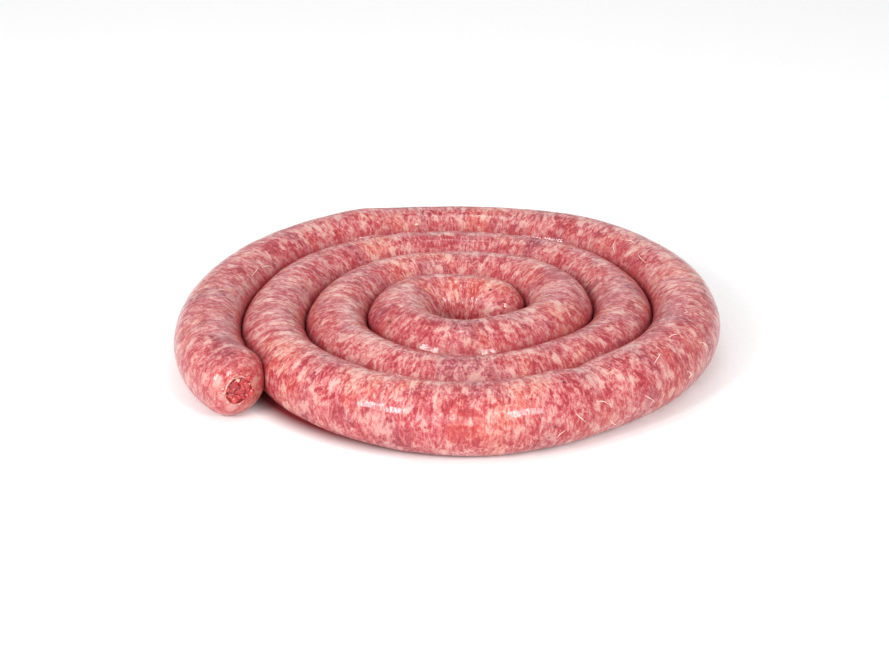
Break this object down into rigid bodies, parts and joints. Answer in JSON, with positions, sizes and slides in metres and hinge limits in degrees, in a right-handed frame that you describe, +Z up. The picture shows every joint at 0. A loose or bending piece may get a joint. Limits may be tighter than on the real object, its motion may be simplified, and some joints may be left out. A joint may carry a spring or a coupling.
{
  "type": "coiled fresh sausage",
  "caption": "Raw fresh sausage in one long natural casing, wound flat into an open-centred spiral coil, with one end cut open to show the coarse red and white mince.",
  "frame": {"origin": "centre of the coil's bounding box in plan, on the surface that it rests on", "axes": "+Z up out of the table, +X along the coil's longest extent, the cut end at -X and -Y and facing -Y"},
  "size_m": [0.2748, 0.2504, 0.0352],
  "materials": {
    "raw_meat": "moist raw mince under a thin clear natural casing, satin to wet gloss"
  },
  "bodies": {
    "root": {"sausage": "raw_meat"}
  },
  "joints": []
}
